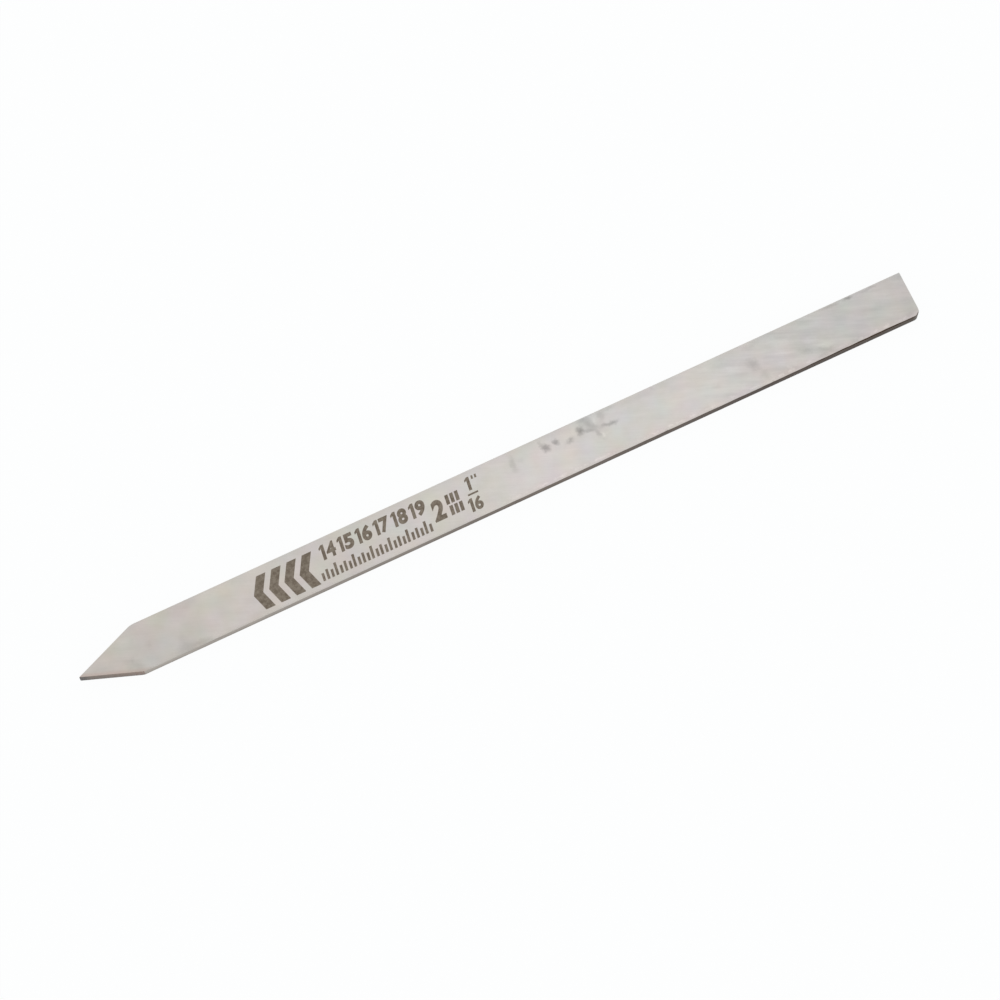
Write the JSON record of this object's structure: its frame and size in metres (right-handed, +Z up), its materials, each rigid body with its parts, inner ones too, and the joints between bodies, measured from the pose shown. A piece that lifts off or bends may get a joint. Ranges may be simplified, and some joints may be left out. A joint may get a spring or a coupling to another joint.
{
  "type": "parting tool blade",
  "caption": "Slim flat parting tool blade of ground high-speed steel, with a V-shaped point that ends in a short upright cutting edge and a square tail with one rounded corner.",
  "frame": {"origin": "centre of the blade's box on the plane it rests on, under its lower broad face", "axes": "+X from the cutting point to the tail end, +Y across the width towards the face whose tail corner is sharp, +Z up through the thickness"},
  "size_m": [0.119, 0.0064, 0.002],
  "materials": {
    "ground_steel": "fine ground high-speed steel, satin, with faint grinding streaks, darker narrow faces and shallow dark etched marks"
  },
  "bodies": {
    "root": {"blade": "ground_steel"}
  },
  "joints": []
}
